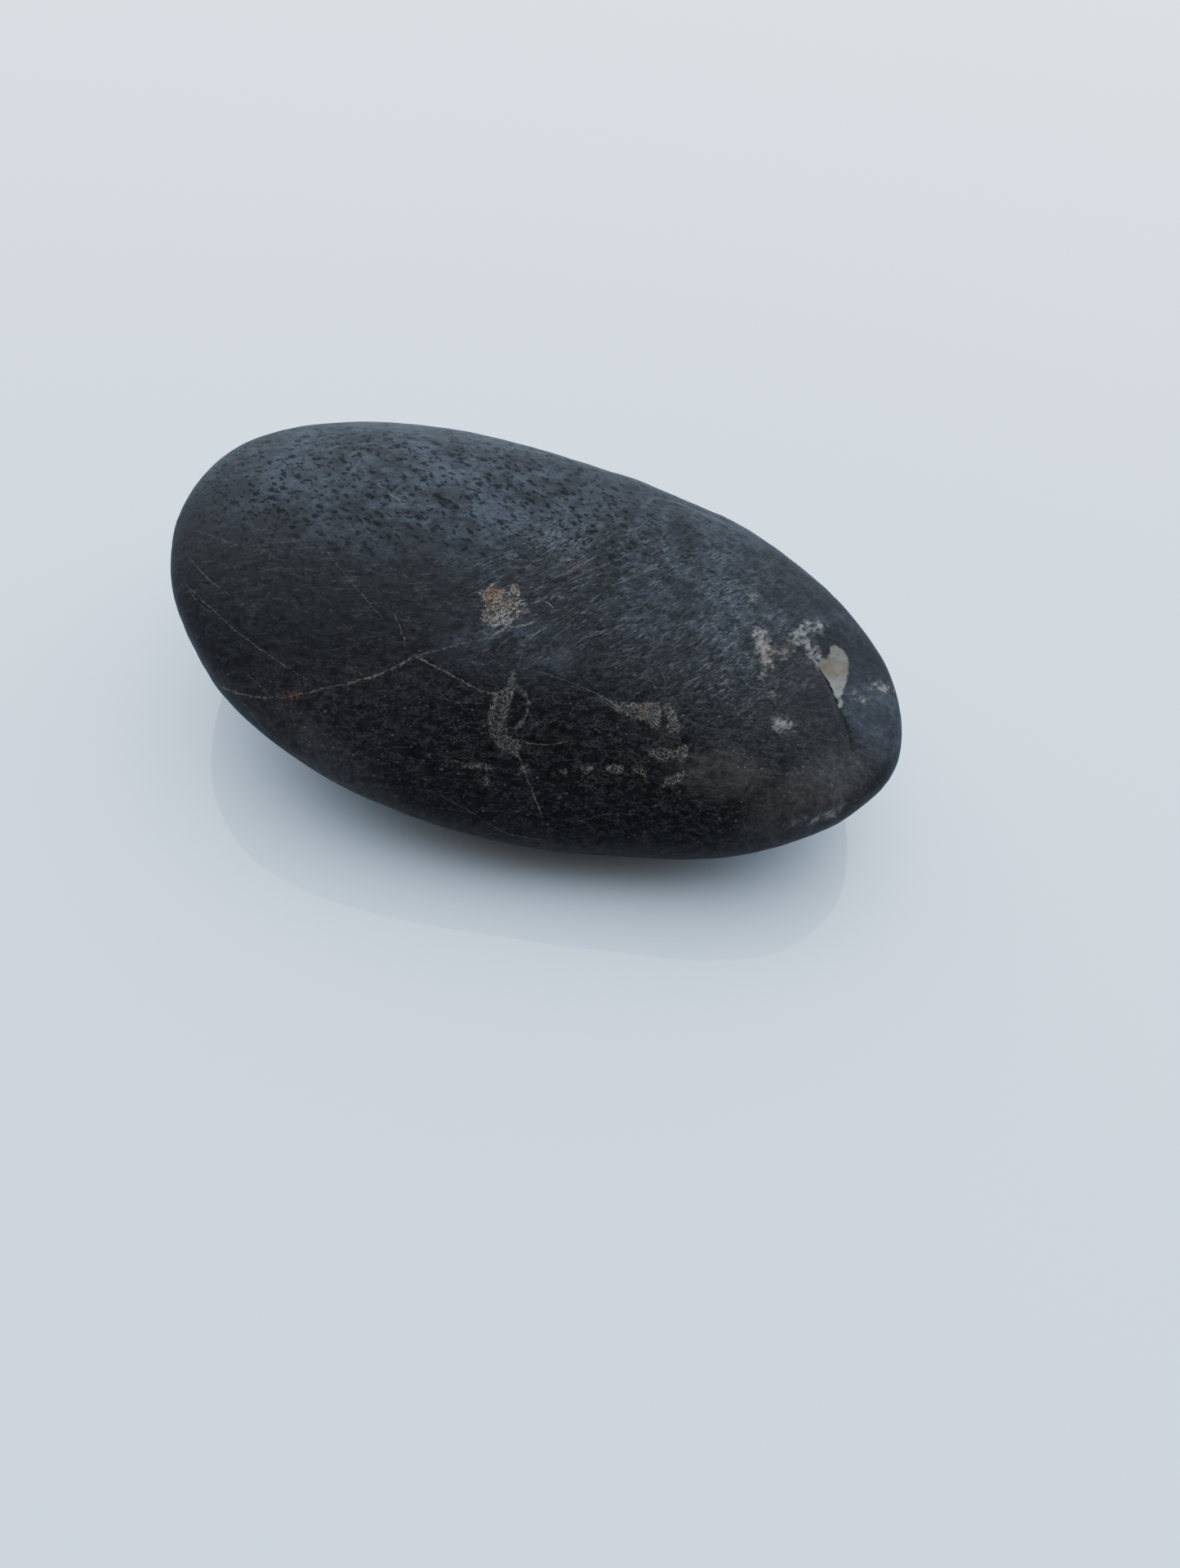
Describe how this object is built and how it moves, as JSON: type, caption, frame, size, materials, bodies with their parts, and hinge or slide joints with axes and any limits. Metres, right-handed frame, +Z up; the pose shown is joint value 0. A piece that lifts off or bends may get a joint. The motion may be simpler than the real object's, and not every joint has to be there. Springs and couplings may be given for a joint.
{
  "type": "river pebble",
  "caption": "Dark, water-worn stone of flattened egg shape, with soft flats, a chipped broad end and a small level seat underneath.",
  "frame": {"origin": "middle of the stone's footprint, on the surface that it rests on", "axes": "+X along the stone's length towards its broad, chipped end, +Z up through its crown"},
  "size_m": [0.103, 0.0666, 0.0293],
  "materials": {
    "dark_stone": "water-worn, dull polish"
  },
  "bodies": {
    "root": {"pebble": "dark_stone"}
  },
  "joints": []
}
